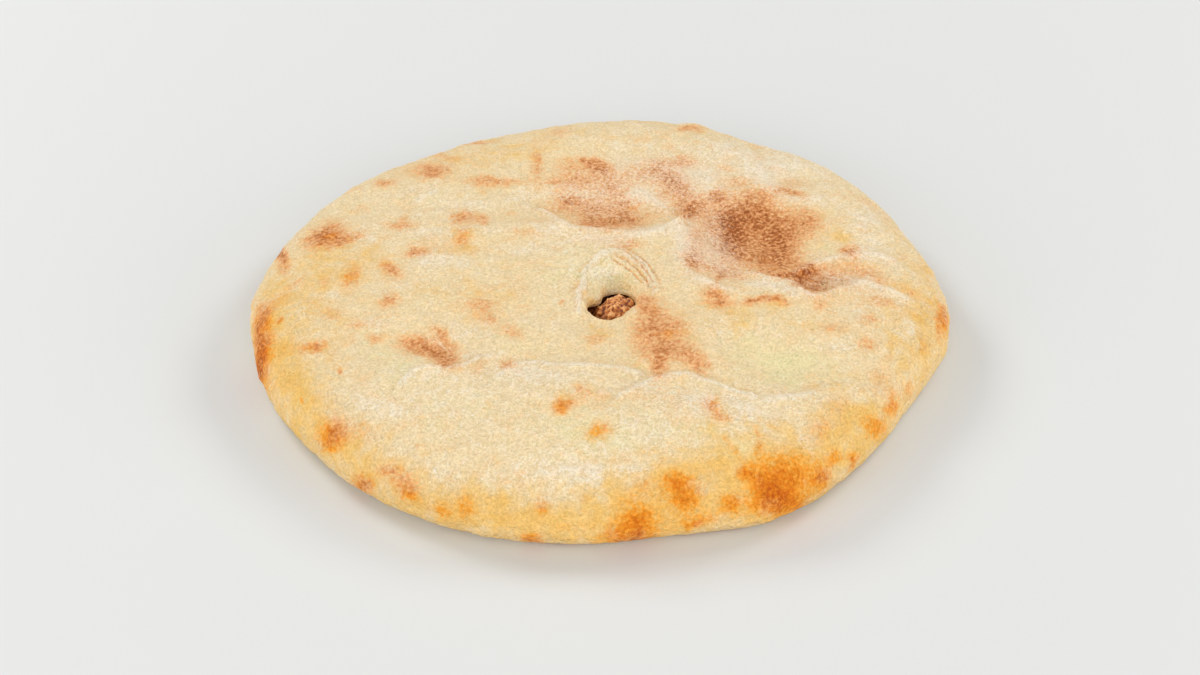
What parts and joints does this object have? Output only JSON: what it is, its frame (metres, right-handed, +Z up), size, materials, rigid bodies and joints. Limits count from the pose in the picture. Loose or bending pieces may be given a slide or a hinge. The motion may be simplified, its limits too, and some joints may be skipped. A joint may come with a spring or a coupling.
{
  "type": "khachapuri",
  "caption": "Round shut flatbread filled with minced meat: puffed, folded and unevenly browned top with a steam vent in the middle, flat base to rest on.",
  "frame": {"origin": "under the middle of the bread's outline, on the surface it rests on", "axes": "+Z up through the thickness; -Y is the front, towards the side of the vent whose lip is pressed down"},
  "size_m": [0.2364, 0.2356, 0.0318],
  "materials": {
    "crust": "baked wheat dough, floury and matt, cream with gold and brown patches",
    "filling": "cooked minced meat, moist and coarse"
  },
  "bodies": {
    "root": {"crust": "crust", "filling": "filling"}
  },
  "joints": []
}
